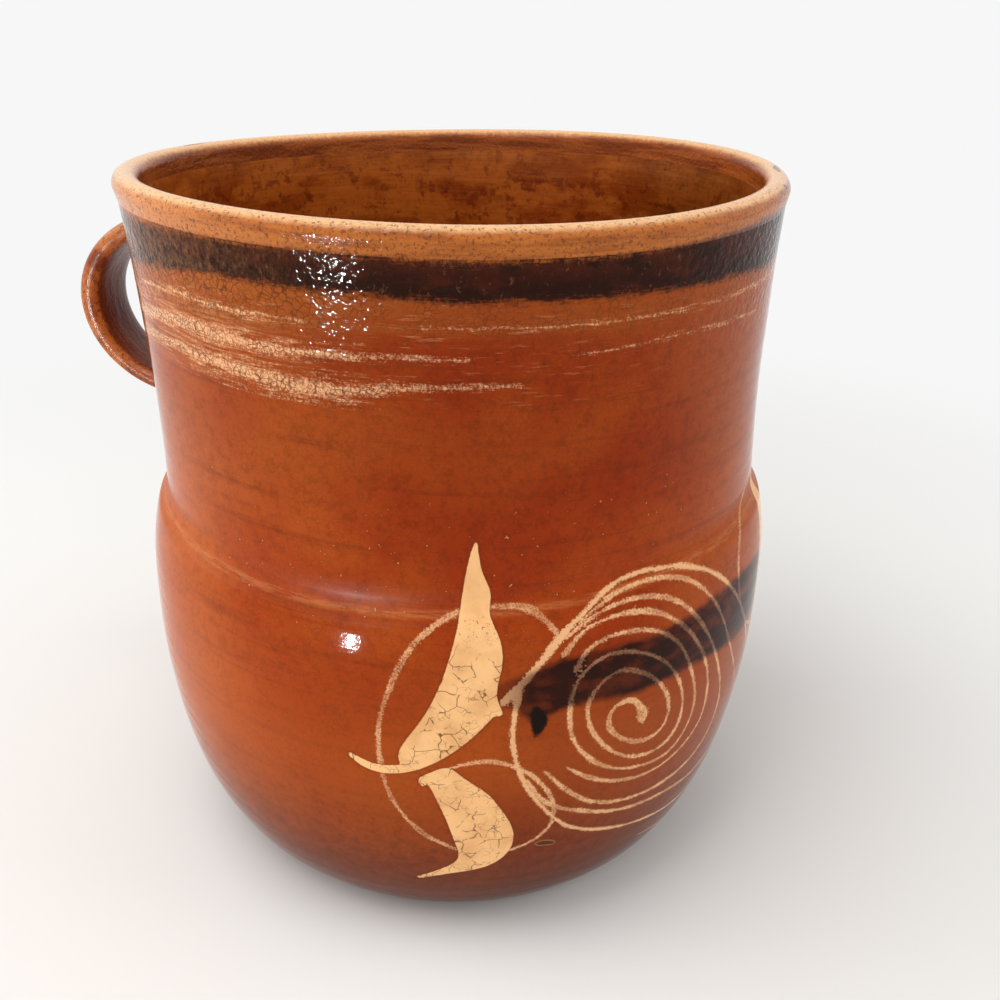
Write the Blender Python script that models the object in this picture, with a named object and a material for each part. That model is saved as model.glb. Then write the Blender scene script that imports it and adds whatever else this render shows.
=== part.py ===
"""Clay pitcher of glazed redware: a round bowl, a raised neck wall, a rolled lip and one strap handle.

Metres, +Z up. The origin is the middle of the underside on the pot's axis, and the handle points
along -X. Each piece of clay is its own solid, a seam's width from the pieces that it is luted to.
"""

import math

import bmesh
import bpy

# The whole pot
HEIGHT = 0.1904
WALL = 0.006
FLOOR = 0.007
SEAM = 0.0003
TURN_STEPS = 72
MERGE_DISTANCE = 0.000001

# Lower bowl: a flat base, a full belly and a shoulder that ends in the ridge
BASE_RADIUS = 0.063
BASE_EDGE = 0.0008
BELLY_RADIUS = 0.087
BELLY_HEIGHT = 0.0774
BELLY_CURVE = 0.18
SHOULDER_CURVE = 3.0
RIDGE_HEIGHT = 0.104
RIDGE_STEP = 0.0018
RIDGE_ROUND = 0.0015
RIDGE_ROUND_POINTS = 4
BELLY_POINTS = 17
INNER_BELLY_POINTS = 13
SHOULDER_POINTS = 7

# Neck wall: narrowest a little above the ridge, then flaring to the lip
NECK_WAIST_RADIUS = 0.0814
NECK_WAIST_RISE = 0.025
NECK_FOOT_SPREAD = 0.0003
NECK_TOP_SPREAD = 0.0028
NECK_FLARE = 1.6
NECK_POINTS = 10

# Rolled lip, which stands a little proud of the neck wall
LIP_OVERHANG = 0.0008
LIP_THICKNESS = 0.0065
LIP_HEIGHT = 0.0062
LIP_ROUND = 0.0032
LIP_POINTS = 13

# Strap handle: a half loop in the XZ plane, hung between the rim and the ridge
UPPER_ROOT_DROP = 0.022
LOWER_ROOT_RISE = 0.0161
HANDLE_REACH = 0.0293
STRAP_WIDTH = 0.0185
STRAP_THICKNESS = 0.0062
STRAP_SQUARENESS = 2.6
STRAP_SECTION_POINTS = 20
STRAP_BEND_STEPS = 26
ROOT_SPREAD = 0.003
ROOT_LENGTH = 0.005

# Rings of soft clay pressed round the two roots of the strap
LUTING_MARGIN = 0.004
LUTING_DEPTH = 0.0052
LUTING_SEGMENTS = 28
LUTING_RINGS = 14

# Worked out from the sizes above
NECK_FOOT_RADIUS = NECK_WAIST_RADIUS + NECK_FOOT_SPREAD
NECK_TOP_RADIUS = NECK_WAIST_RADIUS + NECK_TOP_SPREAD
LIP_RADIUS = NECK_TOP_RADIUS + LIP_OVERHANG
LIP_FOOT_HEIGHT = HEIGHT - LIP_HEIGHT
UPPER_ROOT_HEIGHT = HEIGHT - UPPER_ROOT_DROP
LOWER_ROOT_HEIGHT = RIDGE_HEIGHT + LOWER_ROOT_RISE
HANDLE_HEIGHT = 0.5 * (UPPER_ROOT_HEIGHT + LOWER_ROOT_HEIGHT)
HANDLE_RISE = 0.5 * (UPPER_ROOT_HEIGHT - LOWER_ROOT_HEIGHT)

# Colours of the glazed clay, as they look on screen
BOWL_COLOUR = (0.66, 0.27, 0.11)
NECK_COLOUR = (0.68, 0.30, 0.12)
LIP_COLOUR = (0.74, 0.43, 0.21)
STRAP_COLOUR = (0.60, 0.28, 0.12)
LUTING_COLOUR = (0.56, 0.25, 0.11)
GLAZE_ROUGHNESS = 0.22
LIP_ROUGHNESS = 0.38


def clear_scene():
    for item in list(bpy.data.objects):
        bpy.data.objects.remove(item, do_unlink=True)


def linear(channel):
    """One channel of a screen colour as the shader's linear value."""
    if channel <= 0.04045:
        return channel / 12.92
    return ((channel + 0.055) / 1.055) ** 2.4


def glaze(name, colour, roughness):
    material = bpy.data.materials.new(name)
    material.use_nodes = True
    shader = material.node_tree.nodes["Principled BSDF"]
    shader.inputs["Base Color"].default_value = [linear(channel) for channel in colour] + [1.0]
    shader.inputs["Roughness"].default_value = roughness
    shader.inputs["Metallic"].default_value = 0.0
    return material


def spaced(first, last, count):
    return [first + (last - first) * step / (count - 1) for step in range(count)]


def eased_down(count):
    """Fractions from 1 down to 0 that crowd together near 0, where the belly turns under."""
    return [1.0 - math.sin(0.5 * math.pi * step / (count - 1)) for step in range(count)]


def finished(name, mesh, material, sharp_degrees=50.0):
    """Turns a bmesh into a named object with its normals out and its round faces smooth."""
    bmesh.ops.remove_doubles(mesh, verts=mesh.verts[:], dist=MERGE_DISTANCE)
    bmesh.ops.recalc_face_normals(mesh, faces=mesh.faces[:])
    data = bpy.data.meshes.new(name)
    mesh.to_mesh(data)
    mesh.free()
    data.shade_smooth()
    data.set_sharp_from_angle(angle=math.radians(sharp_degrees))
    if material is not None:
        data.materials.append(material)
    piece = bpy.data.objects.new(name, data)
    bpy.context.scene.collection.objects.link(piece)
    return piece


def turned(profile, closed):
    """Spins (radius, height) points once round the pot's axis, as a wheel would."""
    mesh = bmesh.new()
    corners = [mesh.verts.new((radius, 0.0, height)) for radius, height in profile]
    ends = corners[1:] + corners[:1] if closed else corners[1:]
    edges = [mesh.edges.new(pair) for pair in zip(corners, ends)]
    bmesh.ops.spin(
        mesh,
        geom=corners + edges,
        cent=(0.0, 0.0, 0.0),
        axis=(0.0, 0.0, 1.0),
        angle=2.0 * math.pi,
        steps=TURN_STEPS,
        use_merge=True,
    )
    return mesh


def belly_profile(floor_height, belly_radius, count):
    """The swelling side from the belly down to a floor, as (radius, height) points."""
    reach = math.sqrt(1.0 - (BASE_RADIUS / BELLY_RADIUS) ** (1.0 / BELLY_CURVE))
    points = []
    for fraction in eased_down(count):
        height = floor_height + (BELLY_HEIGHT - floor_height) * fraction
        squash = reach * (1.0 - fraction)
        points.append((belly_radius * (1.0 - squash**2) ** BELLY_CURVE, height))
    return points


def shoulder_profile(belly_radius, ridge_radius, top_height, count):
    """The side above the belly, drawn in towards the ridge, from the belly up."""
    points = []
    for height in spaced(BELLY_HEIGHT, top_height, count):
        fraction = (height - BELLY_HEIGHT) / (top_height - BELLY_HEIGHT)
        points.append((belly_radius - (belly_radius - ridge_radius) * fraction**SHOULDER_CURVE, height))
    return points


def neck_radius(height):
    """The outer radius of the neck wall at a height."""
    waist_height = RIDGE_HEIGHT + NECK_WAIST_RISE
    if height < waist_height:
        fraction = (waist_height - height) / NECK_WAIST_RISE
        return NECK_WAIST_RADIUS + (NECK_FOOT_RADIUS - NECK_WAIST_RADIUS) * fraction**2
    fraction = (height - waist_height) / (LIP_FOOT_HEIGHT - waist_height)
    return NECK_WAIST_RADIUS + (NECK_TOP_RADIUS - NECK_WAIST_RADIUS) * fraction**NECK_FLARE


def arc(centre_radius, centre_height, across, up, first, last, count):
    """Points on an elliptic arc between two angles in degrees, 0 outwards and 90 up."""
    points = []
    for angle in spaced(math.radians(first), math.radians(last), count):
        points.append((centre_radius + across * math.cos(angle), centre_height + up * math.sin(angle)))
    return points


def make_lower_bowl():
    inner_belly = BELLY_RADIUS - WALL
    inner_ridge = NECK_FOOT_RADIUS - WALL
    ridge_radius = NECK_FOOT_RADIUS + RIDGE_STEP
    inside = [(0.0, FLOOR)]
    inside += reversed(belly_profile(FLOOR, inner_belly, INNER_BELLY_POINTS))
    inside += shoulder_profile(inner_belly, inner_ridge, RIDGE_HEIGHT, SHOULDER_POINTS)[1:]
    round_foot = RIDGE_HEIGHT - RIDGE_ROUND
    round_middle = ridge_radius - RIDGE_ROUND
    ridge = arc(round_middle, round_foot, RIDGE_ROUND, RIDGE_ROUND, 90.0, 0.0, RIDGE_ROUND_POINTS)
    outside = list(reversed(shoulder_profile(BELLY_RADIUS, ridge_radius, round_foot, SHOULDER_POINTS)))[1:]
    outside += belly_profile(0.0, BELLY_RADIUS, BELLY_POINTS)[1:-1]
    foot = [(BASE_RADIUS, BASE_EDGE), (BASE_RADIUS - BASE_EDGE, 0.0), (0.0, 0.0)]
    mesh = turned(inside + ridge + outside + foot, closed=False)
    return finished("lower_bowl", mesh, glaze("bowl_glaze", BOWL_COLOUR, GLAZE_ROUGHNESS))


def make_neck_wall():
    heights = spaced(RIDGE_HEIGHT + SEAM, LIP_FOOT_HEIGHT - SEAM, NECK_POINTS)
    outside = [(neck_radius(height), height) for height in heights]
    inside = [(neck_radius(height) - WALL, height) for height in reversed(heights)]
    mesh = turned(outside + inside, closed=True)
    return finished("neck_wall", mesh, glaze("neck_glaze", NECK_COLOUR, GLAZE_ROUGHNESS))


def make_rim_lip():
    round_height = HEIGHT - LIP_ROUND
    middle = LIP_RADIUS - 0.5 * LIP_THICKNESS
    dome = arc(middle, round_height, 0.5 * LIP_THICKNESS, LIP_ROUND, 0.0, 180.0, LIP_POINTS)
    foot = [(NECK_TOP_RADIUS - WALL, LIP_FOOT_HEIGHT), (NECK_TOP_RADIUS, LIP_FOOT_HEIGHT)]
    mesh = turned(dome + foot, closed=True)
    return finished("rim_lip", mesh, glaze("lip_glaze", LIP_COLOUR, LIP_ROUGHNESS))


def strap_section(margin):
    """The flat oval of the strap as (outward, sideways) points, grown by a margin all round."""
    half_thickness = 0.5 * STRAP_THICKNESS + margin
    half_width = 0.5 * STRAP_WIDTH + margin
    points = []
    for step in range(STRAP_SECTION_POINTS):
        angle = 2.0 * math.pi * step / STRAP_SECTION_POINTS
        outward = math.copysign(abs(math.cos(angle)) ** (2.0 / STRAP_SQUARENESS), math.cos(angle))
        sideways = math.copysign(abs(math.sin(angle)) ** (2.0 / STRAP_SQUARENESS), math.sin(angle))
        points.append((half_thickness * outward, half_width * sideways))
    return points


def strap_mesh(margin):
    """The strap bent round its half loop, with both roots run straight on into the neck wall."""
    centre_x = -neck_radius(HANDLE_HEIGHT)
    mesh = bmesh.new()
    corners = [
        mesh.verts.new((centre_x, sideways, UPPER_ROOT_HEIGHT + outward))
        for outward, sideways in strap_section(margin)
    ]
    upper_end = mesh.faces.new(corners)
    bent = bmesh.ops.spin(
        mesh,
        geom=[upper_end],
        cent=(centre_x, 0.0, HANDLE_HEIGHT),
        axis=(0.0, -1.0, 0.0),
        angle=math.pi,
        steps=STRAP_BEND_STEPS,
    )
    stretch = (HANDLE_REACH + 0.5 * STRAP_THICKNESS) / (HANDLE_RISE + 0.5 * STRAP_THICKNESS)
    for corner in mesh.verts:
        corner.co.x = centre_x + (corner.co.x - centre_x) * stretch
    lower_end = [item for item in bent["geom_last"] if isinstance(item, bmesh.types.BMFace)]
    for end in [upper_end] + lower_end:
        grown = bmesh.ops.extrude_discrete_faces(mesh, faces=[end])
        for corner in grown["faces"][0].verts:
            corner.co.x += WALL
    for corner in mesh.verts:
        nearness = max(0.0, 1.0 - max(0.0, centre_x - corner.co.x) / ROOT_LENGTH)
        corner.co.y *= 1.0 + nearness**2 * ROOT_SPREAD / STRAP_WIDTH
    return mesh


def make_guide(name, mesh):
    """A cutter: it shapes other pieces and is no piece of the pot."""
    guide = finished(name, mesh, None)
    guide.hide_render = True
    guide.display_type = "WIRE"
    return guide


def make_wall_cutter():
    """The space inside the neck wall's outer face and its seam, which the handle stays out of."""
    heights = spaced(RIDGE_HEIGHT, LIP_FOOT_HEIGHT, NECK_POINTS)
    profile = [(0.0, heights[-1])]
    profile += [(neck_radius(height) + SEAM, height) for height in reversed(heights)]
    profile += [(0.0, heights[0])]
    return make_guide("wall_cutter", turned(profile, closed=False))


def cut_away(piece, *cutters):
    for cutter in cutters:
        cut = piece.modifiers.new("cut by " + cutter.name, "BOOLEAN")
        cut.operation = "DIFFERENCE"
        cut.solver = "EXACT"
        cut.object = cutter


def make_handle(wall_cutter):
    handle = finished("handle", strap_mesh(0.0), glaze("strap_glaze", STRAP_COLOUR, GLAZE_ROUGHNESS))
    cut_away(handle, wall_cutter)
    return handle


def make_luting(name, root_height, material, wall_cutter, strap_cutter):
    """A ring of soft clay round one root: a flat dome on the wall, cut clear of wall and strap."""
    mesh = bmesh.new()
    bmesh.ops.create_uvsphere(mesh, u_segments=LUTING_SEGMENTS, v_segments=LUTING_RINGS, radius=1.0)
    half_width = 0.5 * (STRAP_WIDTH + ROOT_SPREAD) + LUTING_MARGIN
    half_height = 0.5 * STRAP_THICKNESS + LUTING_MARGIN
    for corner in mesh.verts:
        corner.co.x = corner.co.x * LUTING_DEPTH - neck_radius(root_height)
        corner.co.y *= half_width
        corner.co.z = corner.co.z * half_height + root_height
    luting = finished(name, mesh, material)
    cut_away(luting, wall_cutter, strap_cutter)
    return luting


def main():
    clear_scene()
    make_lower_bowl()
    make_neck_wall()
    make_rim_lip()
    wall_cutter = make_wall_cutter()
    strap_cutter = make_guide("strap_cutter", strap_mesh(SEAM))
    make_handle(wall_cutter)
    luting_glaze = glaze("luting_glaze", LUTING_COLOUR, GLAZE_ROUGHNESS)
    make_luting("upper_luting", UPPER_ROOT_HEIGHT, luting_glaze, wall_cutter, strap_cutter)
    make_luting("lower_luting", LOWER_ROOT_HEIGHT, luting_glaze, wall_cutter, strap_cutter)


main()
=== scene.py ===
import math

import bmesh
import bpy
import numpy as np
from mathutils import Matrix, Vector, noise
from mathutils.kdtree import KDTree


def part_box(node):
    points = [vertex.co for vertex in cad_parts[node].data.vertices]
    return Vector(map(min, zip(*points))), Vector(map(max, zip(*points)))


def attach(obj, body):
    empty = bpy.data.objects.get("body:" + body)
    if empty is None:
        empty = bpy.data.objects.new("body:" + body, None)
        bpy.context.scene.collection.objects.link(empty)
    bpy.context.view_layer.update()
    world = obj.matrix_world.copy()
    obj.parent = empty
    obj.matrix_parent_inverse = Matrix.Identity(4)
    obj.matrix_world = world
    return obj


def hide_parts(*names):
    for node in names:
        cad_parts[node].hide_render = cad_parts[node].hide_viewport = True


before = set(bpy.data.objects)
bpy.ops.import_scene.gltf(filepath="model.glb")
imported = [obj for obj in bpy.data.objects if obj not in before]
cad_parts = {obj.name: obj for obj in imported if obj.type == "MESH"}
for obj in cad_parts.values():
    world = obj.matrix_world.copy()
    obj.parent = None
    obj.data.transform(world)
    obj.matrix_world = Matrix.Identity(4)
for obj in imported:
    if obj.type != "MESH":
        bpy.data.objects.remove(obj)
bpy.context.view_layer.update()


# Lower bowl
# The belly of the pot, thrown in red earthenware on a wheel and closed below by a thick floor.
# Its shoulder is drawn in to a small ridge, on which the neck wall was set while both were damp.
# Sizes in this file are millimetres and degrees, and MM turns them into the frame's metres.
MM = 0.001
BELLY_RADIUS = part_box("lower_bowl")[1].y / MM
RIDGE_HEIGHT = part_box("lower_bowl")[1].z / MM
BELLY_HEIGHT = 77.4
BELLY_CURVE = 0.18
SHOULDER_CURVE = 3.0
BASE_RADIUS = 63.0
BASE_EDGE = 0.8
WALL = 6.0
FLOOR = 7.0
RIDGE_RADIUS = 83.5
NECK_FOOT_RADIUS = 81.7

# Face sizes: about a millimetre where slip is painted, and coarser where the glaze is plain
COLUMNS = 540
WEDGE_COLUMNS = 18
PAINTED_ROW = 1.1
PLAIN_ROW = 3.0
FLOOR_ROW = 8.0
UNDERSIDE_ROW = 12.0
BELLY_STEPS = 200
SHOULDER_STEPS = 60
MERGE_DISTANCE = 0.001
SHARP_EDGE = 40.0

# How far the rim and ridge of the hand-thrown pot sway from true, and the side that they sway to
RIM_TILT = 1.13
RIM_TILT_SIDE = 13.5
RIM_SADDLE = 0.82
RIM_SADDLE_SIDE = 39.0
RIM_OVAL = 1.40
RIM_OVAL_SIDE = 66.0
RIM_OVAL_RISE = 1.5
RIM_LEAN = (-2.15, -0.62)
RIDGE_TILT = 1.76
RIDGE_TILT_SIDE = 16.0
RIDGE_SADDLE = 2.09
RIDGE_SADDLE_SIDE = 1.0
RIM_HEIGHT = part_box("rim_lip")[1].z / MM - RIM_TILT - RIM_SADDLE


def sway(angle, amount, side, lobes):
    return amount * np.cos(lobes * (angle - math.radians(side)))


def hand_made(points):
    """Moves points of a true pot, in mm, to where the leaning, slightly oval one has them."""
    x, y, z = points.T
    angle = np.arctan2(y, x)
    radius = np.hypot(x, y)
    up = np.clip((z - RIDGE_HEIGHT) / (RIM_HEIGHT - RIDGE_HEIGHT), 0.0, 1.0)
    wave = np.where(z < RIDGE_HEIGHT, z / RIDGE_HEIGHT, (1.0 - up) ** 2)
    wave = wave * np.clip(radius / BASE_RADIUS, 0.0, 1.0)
    height = z + up * sway(angle, RIM_TILT, RIM_TILT_SIDE, 1)
    height += up * sway(angle, RIM_SADDLE, RIM_SADDLE_SIDE, 2)
    height += wave * sway(angle, RIDGE_TILT, RIDGE_TILT_SIDE, 1)
    height += wave * sway(angle, RIDGE_SADDLE, RIDGE_SADDLE_SIDE, 2)
    radius = radius + up**RIM_OVAL_RISE * sway(angle, RIM_OVAL, RIM_OVAL_SIDE, 2)
    return np.column_stack(
        (radius * np.cos(angle) + up * RIM_LEAN[0], radius * np.sin(angle) + up * RIM_LEAN[1], height)
    )


THROWN_LUMP = 0.30
THROWN_LUMP_SIZE = 26.0
THROWN_LUMP_FLATNESS = 1.6
THROWN_RING = 0.07
THROWN_RING_PITCH = 5.2
THROWN_RING_FADE = (40.0, 40.0, 6.0)


def thrown_marks(points):
    """How far the potter's fingers left each point, in mm, inside the smooth outline."""
    marks = []
    for x, y, z in points:
        angle = math.atan2(y, x)
        lump = 0.5 + 0.5 * noise.noise(Vector((x, y, THROWN_LUMP_FLATNESS * z)) / THROWN_LUMP_SIZE)
        turn = z / THROWN_RING_PITCH + angle / (2.0 * math.pi)
        fading = [length / fade for length, fade in zip((x, y, z), THROWN_RING_FADE)]
        depth = 0.5 + 0.5 * noise.noise(fading)
        ring = depth * (0.5 + 0.5 * math.sin(2.0 * math.pi * turn))
        marks.append(THROWN_LUMP * lump + THROWN_RING * ring)
    return np.array(marks)


def walked(path, row):
    """The same path with a point at every row of faces, as (radius, height) pairs."""
    path = np.array(path)
    run = np.concatenate(([0.0], np.cumsum(np.hypot(*np.diff(path, axis=0).T))))
    stops = np.linspace(0.0, run[-1], max(2, round(run[-1] / row) + 1))
    return list(zip(np.interp(stops, run, path[:, 0]), np.interp(stops, run, path[:, 1])))


def belly(floor_height, belly_radius):
    """The swelling side from a floor up to the belly."""
    reach = math.sqrt(1.0 - (BASE_RADIUS / BELLY_RADIUS) ** (1.0 / BELLY_CURVE))
    points = []
    for height in np.linspace(floor_height, BELLY_HEIGHT, BELLY_STEPS):
        fraction = (BELLY_HEIGHT - height) / (BELLY_HEIGHT - floor_height)
        points.append((belly_radius * (1.0 - (reach * fraction) ** 2) ** BELLY_CURVE, height))
    return points


def shoulder(belly_radius, ridge_radius, top_height):
    """The side above the belly, drawn in towards the ridge."""
    points = []
    for height in np.linspace(BELLY_HEIGHT, top_height, SHOULDER_STEPS)[1:]:
        fraction = (height - BELLY_HEIGHT) / (top_height - BELLY_HEIGHT)
        points.append((belly_radius - (belly_radius - ridge_radius) * fraction**SHOULDER_CURVE, height))
    return points


def thrown(name, profile, closed):
    """Spins (radius, height) points into a wedge and the wedge into the whole turn, as on the wheel.

    Returns the object and its true points.
    """
    mesh = bmesh.new()
    corners = [mesh.verts.new((radius, 0.0, height)) for radius, height in profile]
    ends = corners[1:] + corners[:1] if closed else corners[1:]
    edges = [mesh.edges.new(pair) for pair in zip(corners, ends)]
    wedge = 2.0 * math.pi * WEDGE_COLUMNS / COLUMNS
    axis = {"cent": (0.0, 0.0, 0.0), "axis": (0.0, 0.0, 1.0)}
    bmesh.ops.spin(mesh, geom=corners + edges, angle=wedge, steps=WEDGE_COLUMNS, **axis)
    whole = mesh.verts[:] + mesh.edges[:] + mesh.faces[:]
    copies = COLUMNS // WEDGE_COLUMNS - 1
    bmesh.ops.spin(mesh, geom=whole, angle=wedge * copies, steps=copies, use_duplicate=True, **axis)
    bmesh.ops.remove_doubles(mesh, verts=mesh.verts[:], dist=MERGE_DISTANCE)
    bmesh.ops.recalc_face_normals(mesh, faces=mesh.faces[:])
    return formed(name, mesh)


def formed(name, mesh):
    data = bpy.data.meshes.new(name)
    mesh.to_mesh(data)
    mesh.free()
    data.shade_smooth()
    data.set_sharp_from_angle(angle=math.radians(SHARP_EDGE))
    piece = bpy.data.objects.new(name, data)
    bpy.context.scene.collection.objects.link(piece)
    points = np.empty(3 * len(data.vertices))
    data.vertices.foreach_get("co", points)
    return piece, points.reshape(-1, 3)


def fired(piece, points):
    """Gives a piece its final points, in the frame's metres."""
    piece.data.vertices.foreach_set("co", (points * MM).ravel())
    piece.data.update()


NECK_WAIST_RADIUS = 81.4
NECK_WAIST_HEIGHT = RIDGE_HEIGHT + 25.0
NECK_TOP_RADIUS = 84.2
NECK_FLARE = 1.6
LIP_FOOT_HEIGHT = RIM_HEIGHT - 6.2


def neck_radius(height):
    """The true outer radius of the neck wall, which is narrowest at its waist and flares to the lip."""
    below = np.clip((NECK_WAIST_HEIGHT - height) / (NECK_WAIST_HEIGHT - RIDGE_HEIGHT), 0.0, 1.0)
    above = np.clip((height - NECK_WAIST_HEIGHT) / (LIP_FOOT_HEIGHT - NECK_WAIST_HEIGHT), 0.0, 1.0)
    spread_below = (NECK_FOOT_RADIUS - NECK_WAIST_RADIUS) * below**2
    spread_above = (NECK_TOP_RADIUS - NECK_WAIST_RADIUS) * above**NECK_FLARE
    return NECK_WAIST_RADIUS + spread_below + spread_above


BOWL_SIDE = np.array(belly(0.0, BELLY_RADIUS) + shoulder(BELLY_RADIUS, RIDGE_RADIUS, RIDGE_HEIGHT))
RIDGE_SOFT_BELOW = 2.6
RIDGE_SOFT_ABOVE = 3.6


def outer_radius(height):
    """The true outer radius of the whole pot, with the ridge thumbed smooth into the neck wall."""
    share = (np.asarray(height) - RIDGE_HEIGHT + RIDGE_SOFT_BELOW) / (RIDGE_SOFT_BELOW + RIDGE_SOFT_ABOVE)
    share = np.clip(share, 0.0, 1.0)
    share = share * share * (3.0 - 2.0 * share)
    return (1.0 - share) * np.interp(height, BOWL_SIDE[:, 1], BOWL_SIDE[:, 0]) + share * neck_radius(height)


inner_belly = BELLY_RADIUS - WALL
inner_ridge = NECK_FOOT_RADIUS - WALL
inner_wall = belly(FLOOR, inner_belly) + shoulder(inner_belly, inner_ridge, RIDGE_HEIGHT)
bowl_inside = walked([(0.0, FLOOR), (BASE_RADIUS * inner_belly / BELLY_RADIUS, FLOOR)], FLOOR_ROW)
bowl_inside += walked(inner_wall, PLAIN_ROW)[1:]
bowl_outside = [(float(outer_radius(height)), height) for height in BOWL_SIDE[:, 1]]
bowl_outside = walked(bowl_outside, PAINTED_ROW)[1:]
bowl_foot = [(BASE_RADIUS, BASE_EDGE), (BASE_RADIUS - BASE_EDGE, 0.0)]
bowl_foot += walked([(BASE_RADIUS - BASE_EDGE, 0.0), (0.0, 0.0)], UNDERSIDE_ROW)[1:]
bowl, bowl_true = thrown("bowl_of_red_clay", bowl_inside + bowl_outside[::-1] + bowl_foot, closed=False)


MARKS_FULL_HEIGHT = 12.0


def pressed(points, marks_share=1.0):
    """The hand-made place of true points, with the finger marks pressed in from outside."""
    radius = np.maximum(np.hypot(points[:, 0], points[:, 1]), 1.0)
    share = np.clip(points[:, 2] / MARKS_FULL_HEIGHT, 0.0, 1.0) * np.clip(radius / BASE_RADIUS, 0.0, 1.0)
    inward = marks_share * share * thrown_marks(points) / radius
    moved = points.copy()
    moved[:, 0] -= points[:, 0] * inward
    moved[:, 1] -= points[:, 1] * inward
    return hand_made(moved)


fired(bowl, pressed(bowl_true))


# Slip painting
# Cream and dark brown slip, brushed on the damp clay under the glaze: two leaves, two hoops and a
# long spiral on each side, a hooped leaf opposite the handle, and a dark band under the lip.

# Places are (millimetres round the pot from opposite the handle, height, half width of a line)
CHART_RADIUS = 86.0
LINE_REACH = 2.0
AREA_REACH = 6.0


def flowing(points, step=0.4):
    """A natural cubic curve through a few points, read at small even steps."""
    knots = np.array(points, dtype=float)
    spans = np.linalg.norm(np.diff(knots[:, :2], axis=0), axis=1)
    places = np.concatenate(([0.0], np.cumsum(spans)))
    bends = np.zeros_like(knots)
    if len(knots) > 2:
        system = np.diag(2.0 * (spans[:-1] + spans[1:]))
        system += np.diag(spans[1:-1], 1) + np.diag(spans[1:-1], -1)
        slopes = np.diff(knots, axis=0) / spans[:, None]
        bends[1:-1] = np.linalg.solve(system, 6.0 * np.diff(slopes, axis=0))
    reads = np.linspace(0.0, places[-1], int(places[-1] / step) + 2)
    span = np.clip(np.searchsorted(places, reads, side="right") - 1, 0, len(spans) - 1)
    length = spans[span][:, None]
    left = (places[span + 1] - reads)[:, None]
    right = (reads - places[span])[:, None]
    curved = (bends[span] * left**3 + bends[span + 1] * right**3) / (6.0 * length)
    start = (knots[span] / length - bends[span] * length / 6.0) * left
    end = (knots[span + 1] / length - bends[span + 1] * length / 6.0) * right
    return curved + start + end


def chart(points):
    """Signed millimetres round the pot from opposite the handle, and the height, of true points."""
    angle = np.arctan2(-points[:, 1], points[:, 0])
    return CHART_RADIUS * angle, points[:, 2]


def brush_lines(strokes, across, height):
    """The nearest brush line of each point: cosine and sine of the distance to its middle, and half width.

    Half a turn stands for LINE_REACH millimetres, so the line stays crisp between the mesh's points.
    """
    curves = [flowing(stroke) for stroke in strokes]
    samples = np.vstack(curves)
    tangents = np.vstack([np.gradient(curve[:, :2], axis=0) for curve in curves])
    tangents /= np.linalg.norm(tangents, axis=1)[:, None]
    lengths = [len(curve) for curve in curves]
    firsts = np.cumsum([0] + lengths[:-1])
    lasts = np.cumsum(lengths) - 1
    tree = KDTree(len(samples))
    for index, sample in enumerate(samples):
        tree.insert((sample[0], sample[1], 0.0), index)
    tree.balance()
    low = samples.min(axis=0) - LINE_REACH
    high = samples.max(axis=0) + LINE_REACH
    near = (across > low[0]) & (across < high[0]) & (height > low[1]) & (height < high[1])
    found = np.zeros((len(across), 3))
    found[:, 0] = -1.0
    found[:, 2] = -1.0
    rows = np.flatnonzero(near)
    hits = np.array([tree.find((across[row], height[row], 0.0))[1] for row in rows], dtype=int)
    offset = np.column_stack((across[rows], height[rows])) - samples[hits][:, :2]
    tangent = tangents[hits]
    side = tangent[:, 0] * offset[:, 1] - tangent[:, 1] * offset[:, 0]
    along = tangent[:, 0] * offset[:, 0] + tangent[:, 1] * offset[:, 1]
    past = np.where(np.isin(hits, lasts), along, 0.0) + np.where(np.isin(hits, firsts), -along, 0.0)
    past = np.maximum(past, 0.0)
    phase = math.pi * np.clip(side, -LINE_REACH, LINE_REACH) / LINE_REACH
    found[rows] = np.column_stack((np.cos(phase), np.sin(phase), samples[hits][:, 2] - past))
    return found


def painted_area(outline, across, height):
    """How far inside a closed outline each point lies, in mm, and negative outside it."""
    nearest = np.full(len(across), AREA_REACH)
    inside = np.zeros(len(across), dtype=bool)
    for start, end in zip(outline, np.roll(outline, -1, axis=0)):
        run = end - start
        if not run.any():
            continue
        share = ((across - start[0]) * run[0] + (height - start[1]) * run[1]) / run.dot(run)
        share = np.clip(share, 0.0, 1.0)
        gap = np.hypot(across - start[0] - share * run[0], height - start[1] - share * run[1])
        nearest = np.minimum(nearest, gap)
        crossed = (start[1] > height) != (end[1] > height)
        if crossed.any():
            inside ^= crossed & (across < start[0] + (height - start[1]) * run[0] / run[1])
    return np.where(inside, nearest, -nearest)


def outline_of(*sides):
    """A closed outline from the sides between its sharp corners."""
    return np.vstack([flowing(side, 1.0) for side in sides])


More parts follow.
